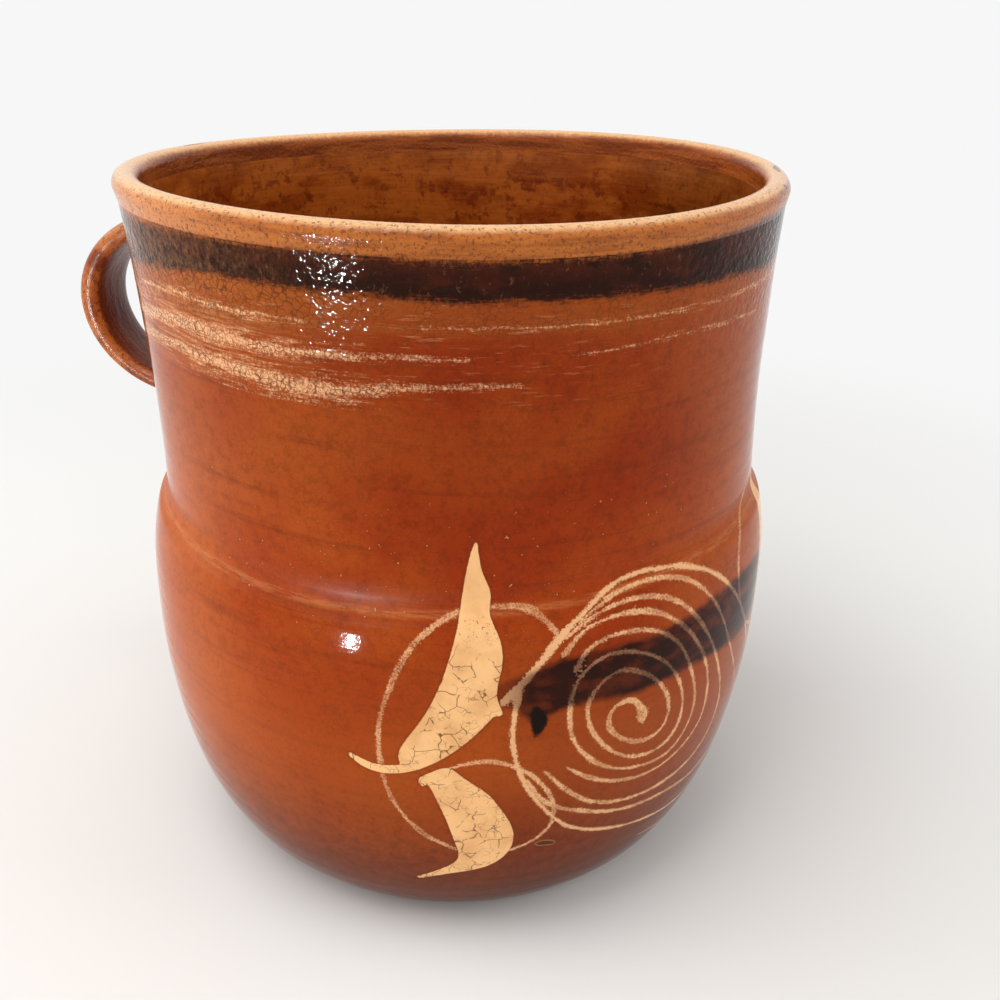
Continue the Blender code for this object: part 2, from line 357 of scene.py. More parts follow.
BIG_LEAF = outline_of(
    [(107.4, 120.8), (108.7, 116.5), (110.7, 105.7), (112.6, 96.5), (116.1, 85.2), (119.6, 77.7),
     (123.1, 71.8), (124.7, 66.8), (124.2, 64.7)],
    [(124.2, 64.7), (128.6, 64.0), (132.0, 64.5), (134.4, 65.5), (136.9, 66.6)],
    [(137.1, 65.6), (133.8, 63.0), (128.7, 61.6), (121.9, 62.8), (113.1, 68.0), (107.7, 73.0), (102.8, 78.9)],
    [(102.8, 78.9), (100.8, 78.9), (101.2, 80.7)],
    [(101.2, 80.7), (102.2, 83.9), (101.2, 92.5), (102.6, 100.5), (104.0, 104.3), (103.6, 107.6),
     (105.1, 112.3), (106.4, 118.0), (106.6, 120.6)],
)
SMALL_LEAF = outline_of(
    [(119.8, 61.2), (116.7, 63.1), (113.1, 64.3), (110.1, 61.8), (104.7, 56.8), (99.7, 49.2),
     (96.4, 40.5), (97.2, 34.0), (102.8, 28.2), (109.6, 26.2), (121.0, 22.4)],
    [(121.8, 23.2), (114.1, 28.1), (110.5, 32.0), (111.1, 38.3), (113.3, 46.6), (117.2, 57.9)],
    [(117.2, 57.9), (117.8, 59.6), (118.7, 58.3), (120.0, 59.3), (119.8, 61.2)],
)
CENTRE_LEAF = outline_of(
    [(0.0, 122.0), (-2.2, 108.0), (-7.0, 92.0), (-6.4, 76.0), (0.0, 58.0)],
    [(0.0, 58.0), (6.4, 76.0), (7.0, 92.0), (2.2, 108.0), (0.0, 122.0)],
)
BRUSH_STROKE = outline_of(
    [(104.5, 87.0), (99.0, 88.5), (92.0, 90.5), (80.0, 92.0), (60.0, 91.0), (40.0, 92.5), (20.0, 92.0),
     (0.0, 91.0), (-5.0, 91.0)],
    [(-5.0, 76.0), (0.0, 76.0), (20.0, 73.5), (45.0, 76.5), (70.0, 77.0), (86.0, 78.0), (90.0, 77.0)],
    [(90.0, 77.0), (93.0, 76.0), (97.0, 79.0), (104.5, 81.0)],
)
BRUSH_DROP = outline_of(
    [(93.6, 80.8), (94.2, 77.2), (93.7, 74.2), (92.9, 71.2)],
    [(92.9, 71.2), (91.3, 73.2), (90.1, 75.8)],
    [(90.1, 75.8), (91.2, 78.6), (93.6, 80.8)],
)
BIG_HOOP = [
    (88.4, 98.1, 0.7), (94.5, 104.0, 0.9), (101.0, 105.3, 0.8), (110.7, 104.7, 0.7), (119.5, 99.7, 0.8),
    (126.9, 85.2, 0.7), (129.2, 75.5, 0.7), (129.2, 66.4, 0.7), (127.8, 57.3, 0.7), (124.3, 48.8, 0.7),
    (118.9, 41.8, 0.8), (111.0, 36.2, 0.7),
]
SMALL_HOOP = [
    (113.0, 64.0, 0.5), (105.6, 65.9, 0.7), (98.3, 63.9, 0.8), (92.7, 59.5, 0.8), (88.3, 53.0, 0.8),
    (86.3, 45.2, 0.8), (87.1, 41.3, 0.7), (91.5, 36.7, 0.7), (97.0, 34.3, 0.6),
]
STEM = [
    (100.8, 82.2, 1.2), (97.2, 86.3, 1.2), (92.1, 92.0, 1.1), (86.8, 97.7, 1.1), (80.9, 101.9, 0.9),
    (69.7, 106.1, 0.8), (60.2, 105.6, 0.8), (44.3, 100.6, 0.8), (27.6, 86.2, 0.7), (15.3, 70.9, 0.7),
    (7.6, 60.5, 0.6),
]
SPIRAL = [
    (64.0, 67.6, 1.2), (64.4, 69.4, 1.8), (65.4, 72.0, 1.2), (68.0, 75.0, 0.9), (73.0, 74.6, 0.7),
    (74.3, 71.0, 0.8), (70.4, 65.0, 0.8), (63.0, 61.0, 0.8), (56.7, 62.5, 0.7), (55.4, 66.4, 0.7),
    (58.2, 74.5, 0.7), (65.6, 81.9, 0.7), (73.7, 84.5, 0.7), (79.6, 79.5, 0.7), (76.4, 66.2, 0.7),
    (69.6, 59.3, 0.7), (60.2, 55.7, 0.7), (51.8, 58.4, 0.7), (50.1, 63.5, 0.7), (52.0, 72.5, 0.6),
    (58.7, 82.2, 0.6), (68.6, 88.5, 0.6), (77.0, 89.6, 0.6), (83.2, 85.0, 0.7), (84.8, 77.7, 0.8),
    (83.6, 69.3, 0.7), (78.5, 61.4, 0.7), (70.7, 55.4, 0.6), (60.4, 52.2, 0.6), (50.4, 53.1, 0.6),
    (45.1, 61.1, 0.6), (48.0, 74.4, 0.6), (54.8, 86.0, 0.6), (63.8, 92.5, 0.6), (73.3, 94.4, 0.6),
    (80.5, 92.8, 0.7), (84.0, 88.2, 0.8),
]
FOURTH_TURN = [
    (84.5, 60.5, 0.4), (80.0, 56.6, 0.6), (74.3, 52.9, 0.7), (62.5, 49.0, 0.6), (50.4, 49.4, 0.6),
    (40.3, 55.8, 0.6), (39.0, 62.2, 0.6), (44.1, 78.2, 0.6), (54.7, 91.2, 0.7), (66.0, 97.9, 0.8),
    (75.4, 98.8, 0.7), (82.0, 97.2, 0.7), (86.8, 92.6, 0.9),
]
FIFTH_TURN = [
    (90.0, 60.5, 0.5), (85.3, 54.6, 0.8), (75.8, 46.2, 0.8), (60.7, 41.7, 0.7), (45.2, 41.5, 0.7),
    (32.1, 47.2, 0.6), (30.1, 53.6, 0.6), (35.1, 70.4, 0.6), (46.1, 87.7, 0.6), (57.3, 98.1, 0.7),
    (68.1, 101.4, 0.7), (79.0, 100.2, 0.7), (86.6, 96.6, 0.7),
]
SIXTH_TURN = [
    (94.7, 59.0, 0.9), (88.4, 49.7, 0.9), (80.3, 44.8, 0.8), (65.6, 39.0, 0.7), (47.9, 36.0, 0.7),
    (25.7, 35.2, 0.6), (12.8, 42.9, 0.6), (15.5, 52.2, 0.6), (29.7, 74.3, 0.6), (41.0, 91.5, 0.6),
    (51.9, 101.0, 0.7), (65.0, 104.0, 0.7), (75.0, 103.0, 0.7), (83.0, 99.6, 0.6),
]
SEVENTH_TURN = [
    (96.9, 86.4, 0.9), (98.3, 72.4, 0.9), (96.6, 62.9, 0.9), (93.5, 55.1, 0.8), (88.1, 46.7, 0.7),
    (82.8, 40.5, 0.7), (71.7, 34.3, 0.7), (54.0, 28.8, 0.7), (36.0, 25.5, 0.6), (19.0, 28.5, 0.6),
    (10.5, 42.0, 0.6), (8.0, 57.0, 0.6),
]
CENTRE_HOOP = [
    (0.0, 113.0, 0.7), (12.0, 110.0, 0.7), (21.4, 104.0, 0.7), (26.1, 99.6, 0.7), (27.6, 92.0, 0.7),
    (26.1, 85.6, 0.7), (21.3, 78.2, 0.7), (12.0, 71.0, 0.7), (0.0, 68.0, 0.7),
]
LOW_LINE = [(52.0, 20.4, 0.4), (43.0, 18.0, 0.6), (33.0, 14.6, 0.4)]
SCRATCH = [(85.0, 34.2, 0.6), (87.2, 34.9, 0.9), (89.6, 35.3, 0.7)]
# The pale slip that the wheel dragged round under the lip, on the whole of the neck
WHEEL_STREAKS = [
    [(206.0, 165.6, 0.5), (176.0, 167.9, 0.9), (160.0, 167.3, 0.8), (143.5, 168.1, 0.3)],
    [(212.0, 157.6, 1.2), (178.0, 161.3, 1.9), (154.0, 160.7, 1.6), (130.0, 161.5, 1.0), (108.0, 161.8, 0.4)],
    [(214.0, 152.0, 1.0), (180.0, 154.9, 1.5), (154.0, 153.9, 2.0), (133.0, 153.9, 1.6), (119.0, 155.4, 0.9),
     (97.0, 155.8, 0.3)],
    [(118.0, 168.5, 0.1), (92.0, 168.3, 0.2), (55.0, 168.2, 0.4), (5.0, 168.5, 0.4)],
    [(86.0, 161.7, 0.0), (73.0, 162.3, 0.1), (40.0, 162.4, 0.3), (22.0, 161.1, 0.2)],
    [(-10.0, 166.0, 0.3), (-60.0, 165.2, 0.9), (-120.0, 166.8, 1.0), (-170.0, 165.6, 0.4)],
    [(-70.0, 158.6, 0.4), (-120.0, 157.6, 1.6), (-180.0, 159.4, 1.4), (-236.0, 158.0, 0.5)],
    [(-130.0, 152.2, 0.4), (-190.0, 152.8, 1.5), (-250.0, 151.6, 0.6)],
]
# The dark band under the lip: its upper and lower edges as heights along the pot's side
BAND_TOP = [
    (0.0, 184.2), (46.0, 183.4), (75.0, 182.4), (110.0, 181.8), (138.0, 182.8),
    (181.0, 181.6), (270.0, 179.5),
]
BAND_FOOT = [
    (0.0, 169.8), (37.0, 172.4), (67.0, 173.2), (110.0, 173.3), (130.0, 174.2),
    (170.0, 173.9), (207.0, 169.4), (270.0, 168.5),
]


def stored(piece, name, values):
    """Keeps a number, or three, for each point of a piece, where its glaze can read them."""
    kind, field = ("FLOAT", "value") if values.ndim == 1 else ("FLOAT_VECTOR", "vector")
    layer = piece.data.attributes.new(name, kind, "POINT")
    layer.data.foreach_set(field, values.astype(np.float32).ravel())


def paint(piece, true_points):
    """Stores the painting on a piece's points as millimetres from each edge and line."""
    signed, height = chart(true_points)
    across = np.abs(signed)
    leaf = np.maximum(painted_area(BIG_LEAF, across, height), painted_area(SMALL_LEAF, across, height))
    leaf = np.maximum(leaf, painted_area(CENTRE_LEAF, across, height))
    top = np.interp(across, *np.array(BAND_TOP).T)
    foot = np.interp(across, *np.array(BAND_FOOT).T)
    layers = {
        "height": height,
        "leaf": leaf,
        "brush": painted_area(BRUSH_STROKE, across, height),
        "drop": painted_area(BRUSH_DROP, across, height),
        "band": np.minimum(top - height, height - foot),
        "below_band": foot - height,
        "side": across,
        "stem": brush_lines([STEM, SEVENTH_TURN], across, height),
        "spiral": brush_lines([SPIRAL, FIFTH_TURN], across, height),
        "turns": brush_lines([FOURTH_TURN, SIXTH_TURN], across, height),
        "hoop": brush_lines([BIG_HOOP, CENTRE_HOOP, LOW_LINE], across, height),
        "small_hoop": brush_lines([SMALL_HOOP], across, height),
        "scratch": brush_lines([SCRATCH], across, height),
        "wheel_streak": brush_lines(WHEEL_STREAKS, signed, height),
    }
    for name, values in layers.items():
        stored(piece, name, values)


paint(bowl, bowl_true)


# Glaze
# A clear lead glaze over the red clay, poured inside and out and fired once with the slip.
# It pools warm brown over ochre slip under the lip, is finely crazed, and has small pits.


def seen(red, green, blue):
    """A colour as it looks on screen, from 0 to 255, as the shader's linear colour."""
    shares = [channel / 255.0 for channel in (red, green, blue)]
    linear = [share / 12.92 if share <= 0.04045 else ((share + 0.055) / 1.055) ** 2.4 for share in shares]
    return (*linear, 1.0)


class Glaze:
    """One glaze: a material whose nodes are added and wired a line at a time, with places in mm."""

    def __init__(self, name, roughness, specular):
        self.material = bpy.data.materials.new(name)
        self.material.use_nodes = True
        self.nodes = self.material.node_tree.nodes
        self.links = self.material.node_tree.links
        self.shader = self.nodes["Principled BSDF"]
        self.shader.inputs["Roughness"].default_value = roughness
        self.shader.inputs["Specular IOR Level"].default_value = specular
        metres = self.nodes.new("ShaderNodeTexCoord").outputs["Object"]
        self.place = self.stretched(metres, (1000.0, 1000.0, 1000.0))

    def wire(self, value, socket):
        if isinstance(value, bpy.types.NodeSocket):
            self.links.new(value, socket)
        else:
            socket.default_value = value

    def stretched(self, place, scale):
        node = self.nodes.new("ShaderNodeVectorMath")
        node.operation = "MULTIPLY"
        self.wire(place, node.inputs[0])
        self.wire(scale, node.inputs[1])
        return node.outputs[0]

    def maths(self, operation, first, second=0.0):
        node = self.nodes.new("ShaderNodeMath")
        node.operation = operation
        self.wire(first, node.inputs[0])
        self.wire(second, node.inputs[1])
        return node.outputs[0]

    def plus(self, first, second):
        return self.maths("ADD", first, second)

    def minus(self, first, second):
        return self.maths("SUBTRACT", first, second)

    def number(self, name):
        node = self.nodes.new("ShaderNodeAttribute")
        node.attribute_name = name
        return node.outputs["Fac"]

    def noise(self, size, detail=2.0, place=None, rough=0.55):
        """Cloudy noise about 0.5, with blotches of a size in mm."""
        node = self.nodes.new("ShaderNodeTexNoise")
        self.wire(self.place if place is None else place, node.inputs["Vector"])
        node.inputs["Scale"].default_value = 1.0 / size
        node.inputs["Detail"].default_value = detail
        node.inputs["Roughness"].default_value = rough
        return node.outputs[0]

    def drawn(self, across, up, detail, rough):
        """Noise drawn out round the pot or along a strap, by its steps per mm across and up."""
        return self.noise(1.0, detail, self.stretched(self.place, (across, across, up)), rough)

    def between(self, value, low, high):
        """0 below one value and 1 above another, with a soft step between them."""
        node = self.nodes.new("ShaderNodeMapRange")
        node.interpolation_type = "SMOOTHSTEP"
        self.wire(value, node.inputs["Value"])
        self.wire(low, node.inputs["From Min"])
        self.wire(high, node.inputs["From Max"])
        return node.outputs[0]

    def over(self, under, colour, share, blend="MIX"):
        """A colour laid over another by a share."""
        node = self.nodes.new("ShaderNodeMix")
        node.data_type = "RGBA"
        node.blend_type = blend
        self.wire(share, node.inputs[0])
        self.wire(under, node.inputs[6])
        self.wire(colour, node.inputs[7])
        return node.outputs[2]

    def shaded(self, colour, share, light):
        """A colour made darker by a factor where the share is 1."""
        return self.over(colour, (light, light, light, 1.0), share, blend="MULTIPLY")

    def cracks(self, size, width, bend=0.35):
        """The net of a crazed glaze: 1 on the cracks between cells of a size in mm."""
        wander = self.nodes.new("ShaderNodeTexNoise")
        self.wire(self.place, wander.inputs["Vector"])
        wander.inputs["Scale"].default_value = 1.3 / size
        wander.inputs["Detail"].default_value = 2.0
        shifted = self.nodes.new("ShaderNodeVectorMath")
        shifted.operation = "MULTIPLY_ADD"
        self.wire(wander.outputs["Color"], shifted.inputs[0])
        self.wire((bend * size, bend * size, bend * size), shifted.inputs[1])
        self.wire(self.place, shifted.inputs[2])
        cells = self.nodes.new("ShaderNodeTexVoronoi")
        cells.feature = "DISTANCE_TO_EDGE"
        self.wire(shifted.outputs[0], cells.inputs["Vector"])
        cells.inputs["Scale"].default_value = 1.0 / size
        return self.minus(1.0, self.between(cells.outputs["Distance"], 0.0, width / size))

    def line(self, name, raggedness):
        """Where a brush line lies: its half width less the distance to its middle, in mm, roughened."""
        node = self.nodes.new("ShaderNodeAttribute")
        node.attribute_name = name
        parts = self.nodes.new("ShaderNodeSeparateXYZ")
        self.wire(node.outputs["Vector"], parts.inputs[0])
        phase = self.maths("ARCTAN2", parts.outputs[1], parts.outputs[0])
        distance = self.both(self.maths("ABSOLUTE", phase), LINE_REACH / math.pi)
        return self.plus(self.minus(parts.outputs[2], distance), raggedness)

    def around(self, value, amount):
        """Noise about 0.5 turned into plus or minus an amount."""
        return self.both(self.minus(value, 0.5), 2.0 * amount)

    def most(self, *values):
        result = values[0]
        for value in values[1:]:
            result = self.maths("MAXIMUM", result, value)
        return result

    def both(self, *values):
        result = values[0]
        for value in values[1:]:
            result = self.maths("MULTIPLY", result, value)
        return result

    def finish(self, colour, relief, roughness=None):
        """Wires the colour, the relief in mm and the roughness to the shader."""
        self.wire(colour, self.shader.inputs["Base Color"])
        bump = self.nodes.new("ShaderNodeBump")
        bump.inputs["Strength"].default_value = 1.0
        bump.inputs["Distance"].default_value = MM
        self.wire(relief, bump.inputs["Height"])
        self.wire(bump.outputs[0], self.shader.inputs["Normal"])
        if roughness is not None:
            self.wire(roughness, self.shader.inputs["Roughness"])
        return self.material


DEEP_RED = seen(148, 48, 8)
WARM_BROWN = seen(168, 72, 18)
PALE_BROWN_AND_SHEEN = seen(180, 92, 38)
DARK_CLAY = seen(98, 34, 12)
OCHRE = seen(164, 90, 34)
CREAM = seen(246, 192, 132)
DULL_CREAM = seen(226, 168, 112)
LINE_CREAM = seen(240, 186, 134)
STREAK_CREAM = seen(238, 184, 136)
IRON_BROWN = seen(56, 18, 8)
IRON_BLACK = seen(20, 6, 4)
BRUSH_BROWN = seen(44, 13, 5)
SLIP_OVER_IRON = seen(142, 98, 72)
CRACK_BROWN = seen(84, 48, 24)


def outside_glaze():
    glaze = Glaze("glaze_outside", roughness=0.1, specular=0.08)
    height = glaze.number("height")
    side = glaze.number("side")
    blotch = glaze.noise(34.0, detail=3.0)
    mottle = glaze.noise(2.6, detail=4.0, rough=0.7)
    grain = glaze.noise(0.6, detail=2.0, rough=0.7)
    turned = glaze.drawn(0.018, 0.42, detail=4.0, rough=0.6)
    dragged = glaze.drawn(0.14, 1.5, detail=4.0, rough=0.7)
    colour = glaze.over(DEEP_RED, WARM_BROWN, glaze.both(glaze.between(blotch, 0.36, 0.70), 0.75))
    drifting_side = glaze.plus(side, glaze.around(blotch, 30.0))
    # Paler towards both sides: partly the glaze's own paler tone, partly painted sheen and light where the
    # sides catch the room's light
    pale_and_sheen_left_side = glaze.both(glaze.between(drifting_side, 120.0, 215.0), 0.7)
    pale_and_sheen_right_side = glaze.both(glaze.between(side, 75.0, 15.0), 0.65)
    colour = glaze.over(colour, PALE_BROWN_AND_SHEEN, glaze.most(pale_and_sheen_left_side, pale_and_sheen_right_side))
    colour = glaze.over(colour, DARK_CLAY, glaze.both(glaze.between(turned, 0.50, 0.74), 0.32))
    colour = glaze.shaded(colour, glaze.between(mottle, 0.44, 0.68), 0.80)
    colour = glaze.shaded(colour, glaze.between(grain, 0.50, 0.70), 0.88)
    # Painted shade: the neck is drawn darker than the bowl, as it catches less light
    colour = glaze.shaded(colour, glaze.between(height, 108.0, 140.0), 0.86)
    speckled_height = glaze.plus(height, glaze.around(mottle, 26.0))
    colour = glaze.over(colour, seen(176, 84, 24), glaze.both(glaze.between(height, 102.0, 60.0), 0.40))
    # Darker towards the foot: painted shade under the belly, over glaze that is darker there as well
    colour = glaze.shaded(colour, glaze.between(speckled_height, 66.0, 10.0), 0.32)
    behind_spiral = glaze.both(glaze.between(drifting_side, 118.0, 88.0), glaze.between(height, 98.0, 76.0))
    colour = glaze.shaded(colour, behind_spiral, 0.86)
    fleck = glaze.between(glaze.noise(1.3, detail=2.0, rough=0.8), 0.70, 0.74)
    flecked = glaze.both(glaze.between(height, 92.0, 104.0), glaze.between(height, 136.0, 120.0))
    colour = glaze.over(colour, seen(224, 172, 124), glaze.both(fleck, flecked, 0.6))
    # Pale streaks along the thumbed ridge, which also stand for a painted highlight on its round
    thumbed_ridge_highlight = glaze.both(glaze.between(height, 102.6, 103.8), glaze.between(height, 105.4, 104.4))
    thumbed_ridge_highlight = glaze.both(thumbed_ridge_highlight, glaze.between(dragged, 0.36, 0.60))
    colour = glaze.over(colour, seen(206, 132, 78), glaze.both(thumbed_ridge_highlight, 0.34))

    # Ochre slip dragged round under the lip, with its dry streaks and its net of crazing
    crazing = glaze.cracks(1.6, 0.17)
    patches = glaze.between(glaze.noise(9.0), 0.30, 0.54)
    wavy_height = glaze.plus(height, glaze.around(turned, 8.0))
    ochre_side = glaze.plus(0.42, glaze.both(glaze.between(side, 95.0, 160.0), 0.38))
    above_band = glaze.between(glaze.minus(height, 178.0), 0.0, 2.0)
    ochre_zone = glaze.both(glaze.between(wavy_height, 160.0, 171.0), glaze.most(ochre_side, above_band))
    colour = glaze.over(colour, OCHRE, glaze.both(ochre_zone, 0.85))
    colour = glaze.shaded(colour, glaze.both(glaze.between(grain, 0.44, 0.60), ochre_zone), 0.84)
    streak_zone = glaze.both(glaze.between(height, 148.0, 153.0), glaze.between(side, 20.0, 150.0))
    faint_streaks = glaze.both(glaze.between(dragged, 0.56, 0.72), streak_zone, 0.34)
    colour = glaze.over(colour, DULL_CREAM, faint_streaks)
    haze_zone = glaze.both(glaze.between(height, 149.0, 155.0), glaze.between(height, 170.0, 163.0))
    haze = glaze.both(haze_zone, glaze.between(side, 125.0, 185.0), glaze.between(dragged, 0.38, 0.62), 0.30)
    colour = glaze.over(colour, DULL_CREAM, haze)
    raggedness = glaze.plus(glaze.around(dragged, 2.2), glaze.around(grain, 1.6))
    streak = glaze.between(glaze.line("wheel_streak", raggedness), -0.3, 1.4)
    thin_places = glaze.plus(0.34, glaze.both(glaze.between(grain, 0.38, 0.58), 0.66))
    colour = glaze.over(colour, STREAK_CREAM, glaze.both(streak, thin_places, 0.80))
    craze_share = glaze.both(crazing, glaze.most(ochre_zone, streak, 0.20), patches)
    colour = glaze.over(colour, seen(72, 30, 14), glaze.both(craze_share, 0.88))

    # The dark band: fuzzy, nearly black where the iron slip pooled along its foot, thin on the left, where
    # painted sheen also lightens it
    fuzz = glaze.around(glaze.noise(1.5, detail=4.0, rough=0.75), 1.8)
    fuzz = glaze.plus(fuzz, glaze.around(dragged, 2.0))
    band = glaze.between(glaze.plus(glaze.number("band"), fuzz), -0.9, 1.3)
    above_foot = glaze.both(glaze.number("below_band"), -1.0)
    swept = glaze.drawn(0.10, 0.20, detail=4.0, rough=0.55)
    fibres = glaze.drawn(0.9, 0.5, detail=3.0, rough=0.8)
    pooled = glaze.both(glaze.between(above_foot, 8.5, 2.5), glaze.between(swept, 0.34, 0.50))
    band_colour = glaze.over(IRON_BROWN, IRON_BLACK, glaze.most(pooled, glaze.between(swept, 0.46, 0.64)))
    pale_fibres = glaze.both(glaze.between(fibres, 0.58, 0.72), 0.45)
    band_colour = glaze.over(band_colour, seen(124, 84, 56), pale_fibres)
    # Paler on the left, where the slip is thin and where painted sheen stands for the light that side catches
    worn_and_lit = glaze.both(glaze.between(side, 120.0, 215.0), glaze.between(fibres, 0.36, 0.64), 0.60)
    band_colour = glaze.over(band_colour, seen(138, 92, 58), worn_and_lit)
    colour = glaze.over(colour, band_colour, glaze.both(band, 0.95))

    # The broad iron stroke behind the spiral, and the drop that ran from its end
    brush_edge = glaze.plus(glaze.number("brush"), glaze.around(glaze.noise(3.0, detail=4.0), 1.1))
    brush_load = glaze.plus(0.80, glaze.both(glaze.between(swept, 0.36, 0.54), 0.20))
    thin_end = glaze.both(glaze.between(side, 94.0, 101.0), 0.5)
    brush_load = glaze.both(brush_load, glaze.minus(1.0, thin_end))
    drop = glaze.between(glaze.plus(glaze.number("drop"), glaze.around(grain, 0.5)), -0.6, 0.4)
    brush = glaze.most(glaze.both(glaze.between(brush_edge, -1.2, 1.4), brush_load), drop)
    brush_colour = glaze.over(BRUSH_BROWN, IRON_BLACK, glaze.both(glaze.between(swept, 0.44, 0.60), 0.80))
    colour = glaze.over(colour, brush_colour, glaze.both(brush, 0.96))
    colour = glaze.over(colour, IRON_BLACK, glaze.both(drop, 0.9))

    # Thin lines of cream slip, which the dry brush left grainy
    dry = glaze.around(glaze.noise(0.5, detail=2.0, rough=0.8), 1.0)
    dry = glaze.plus(dry, glaze.around(glaze.noise(8.0), 0.5))
    stem = glaze.line("stem", dry)
    hoop = glaze.line("hoop", dry)
    rings = [glaze.line(name, dry) for name in ("spiral", "turns", "small_hoop")]
    nearest_line = glaze.most(stem, hoop, *rings)
    line = glaze.between(nearest_line, 0.0, 0.44)
    line_colour = glaze.over(LINE_CREAM, SLIP_OVER_IRON, brush)
    dry_dots = glaze.between(glaze.noise(0.5, detail=3.0, rough=0.8), 0.54, 0.42)
    dry_dots = glaze.both(dry_dots, glaze.between(nearest_line, 0.1, 0.6))
    slip_load = glaze.minus(0.90, glaze.both(dry_dots, 0.52))
    thin_runs = glaze.between(glaze.noise(6.0), 0.44, 0.58)
    slip_load = glaze.minus(slip_load, glaze.both(thin_runs, 0.28))
    slip_load = glaze.minus(slip_load, glaze.both(glaze.between(hoop, -0.3, 0.0), 0.16))
    slip_load = glaze.most(slip_load, glaze.both(glaze.between(stem, 0.0, 0.4), 0.84))
    colour = glaze.over(colour, line_colour, glaze.both(line, slip_load))
    scratch = glaze.line("scratch", 0.0)
    colour = glaze.over(colour, DULL_CREAM, glaze.both(glaze.between(scratch, -0.5, 0.0), 0.22))
    colour = glaze.over(colour, IRON_BROWN, glaze.both(glaze.between(scratch, 0.0, 0.3), 0.85))

    # The leaves: thick cream slip, cracked across their lower parts
    leaf_edge = glaze.plus(glaze.number("leaf"), glaze.around(glaze.noise(0.9), 0.14))
    leaf = glaze.between(leaf_edge, -0.10, 0.12)
    leaf_colour = glaze.over(CREAM, DULL_CREAM, glaze.between(glaze.noise(7.0, detail=4.0), 0.36, 0.74))
    low_on_leaf = glaze.between(height, 101.0, 92.0)
    wide_cracks = glaze.both(glaze.cracks(5.0, 0.17, bend=0.7), glaze.between(glaze.noise(3.6), 0.44, 0.52))
    fine_cracks = glaze.cracks(2.4, 0.10, bend=0.7)
    fine_cracks = glaze.both(fine_cracks, glaze.between(glaze.noise(4.0), 0.50, 0.60), 0.6)
    speckled = glaze.both(glaze.between(height, 97.0, 100.0), glaze.between(height, 104.0, 102.5))
    speckles = glaze.both(speckled, glaze.between(glaze.noise(0.7, detail=2.0, rough=0.8), 0.60, 0.66), 0.8)
    leaf_marks = glaze.most(glaze.both(glaze.most(wide_cracks, fine_cracks), low_on_leaf, 0.9), speckles)
    leaf_colour = glaze.over(leaf_colour, CRACK_BROWN, leaf_marks)
    colour = glaze.over(colour, DARK_CLAY, glaze.both(glaze.between(leaf_edge, -0.7, -0.15), 0.35))
    colour = glaze.over(colour, leaf_colour, leaf)

    # Relief: gentle waves, wheel lines, pits that sparkle near the lip, and the edge of the slip
    relief = glaze.both(glaze.noise(5.0, detail=2.0), 0.02)
    relief = glaze.plus(relief, glaze.both(turned, 0.05))
    rough_skin = glaze.most(glaze.between(height, 152.0, 165.0), 0.10)
    skin = glaze.drawn(0.52, 0.68, detail=1.5, rough=0.55)
    relief = glaze.plus(relief, glaze.both(skin, rough_skin, 0.28))
    relief = glaze.plus(relief, glaze.both(glaze.most(line, leaf), 0.04))
    relief = glaze.minus(relief, glaze.both(craze_share, 0.010))
    roughness = glaze.plus(0.05, glaze.both(glaze.between(height, 155.0, 110.0), 0.02))
    dull_ridge = glaze.both(glaze.between(height, 100.0, 102.5), glaze.between(height, 112.0, 108.0))
    roughness = glaze.plus(roughness, glaze.both(dull_ridge, 0.32))
    return glaze.finish(colour, relief, roughness)


def inside_glaze():
    glaze = Glaze("glaze_inside", roughness=0.16, specular=0.14)
    height = glaze.number("height")
    turned = glaze.drawn(0.03, 0.32, detail=5.0, rough=0.65)
    blotch = glaze.drawn(0.05, 0.11, detail=5.0, rough=0.62)
    patch = glaze.noise(4.5, detail=4.0, rough=0.7)
    mottle = glaze.noise(1.8, detail=4.0, rough=0.7)
    reddened = glaze.both(glaze.between(blotch, 0.44, 0.62), 0.80)
    colour = glaze.over(seen(174, 86, 26), seen(132, 50, 10), reddened)
    colour = glaze.over(colour, seen(104, 34, 12), glaze.both(glaze.between(patch, 0.52, 0.62), 0.65))
    colour = glaze.over(colour, seen(176, 98, 38), glaze.both(glaze.between(turned, 0.50, 0.72), 0.45))
    # Painted shade: the inner wall on the side away from the handle is drawn darker, as it lies in shade
    colour = glaze.shaded(colour, glaze.between(glaze.number("side"), 130.0, 60.0), 0.44)
    near_lip = glaze.between(glaze.plus(height, glaze.around(turned, 5.0)), 172.0, 183.0)
    colour = glaze.over(colour, seen(184, 106, 44), glaze.both(near_lip, 0.25))
    colour = glaze.shaded(colour, glaze.between(mottle, 0.46, 0.68), 0.78)
    relief = glaze.plus(glaze.both(turned, 0.22), glaze.both(mottle, 0.04))
    return glaze.finish(colour, relief)


OUTSIDE_GLAZE = outside_glaze()
INSIDE_GLAZE = inside_glaze()


def dipped(piece, true_points):
    """Puts the outside glaze on a thrown piece's outer faces, and the inside glaze on the others."""
    piece.data.materials.append(OUTSIDE_GLAZE)
    piece.data.materials.append(INSIDE_GLAZE)
    corner = true_points[[face.vertices[0] for face in piece.data.polygons]]
    opposite = true_points[[face.vertices[2] for face in piece.data.polygons]]
    middle = 0.5 * (corner + opposite)
    radius = np.hypot(middle[:, 0], middle[:, 1])
    inner = (middle[:, 2] > 0.5 * FLOOR) & (radius < outer_radius(middle[:, 2]) - 0.5 * WALL)
    piece.data.polygons.foreach_set("material_index", inner.astype(int))


dipped(bowl, bowl_true)
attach(bowl, "root")
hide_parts("lower_bowl")


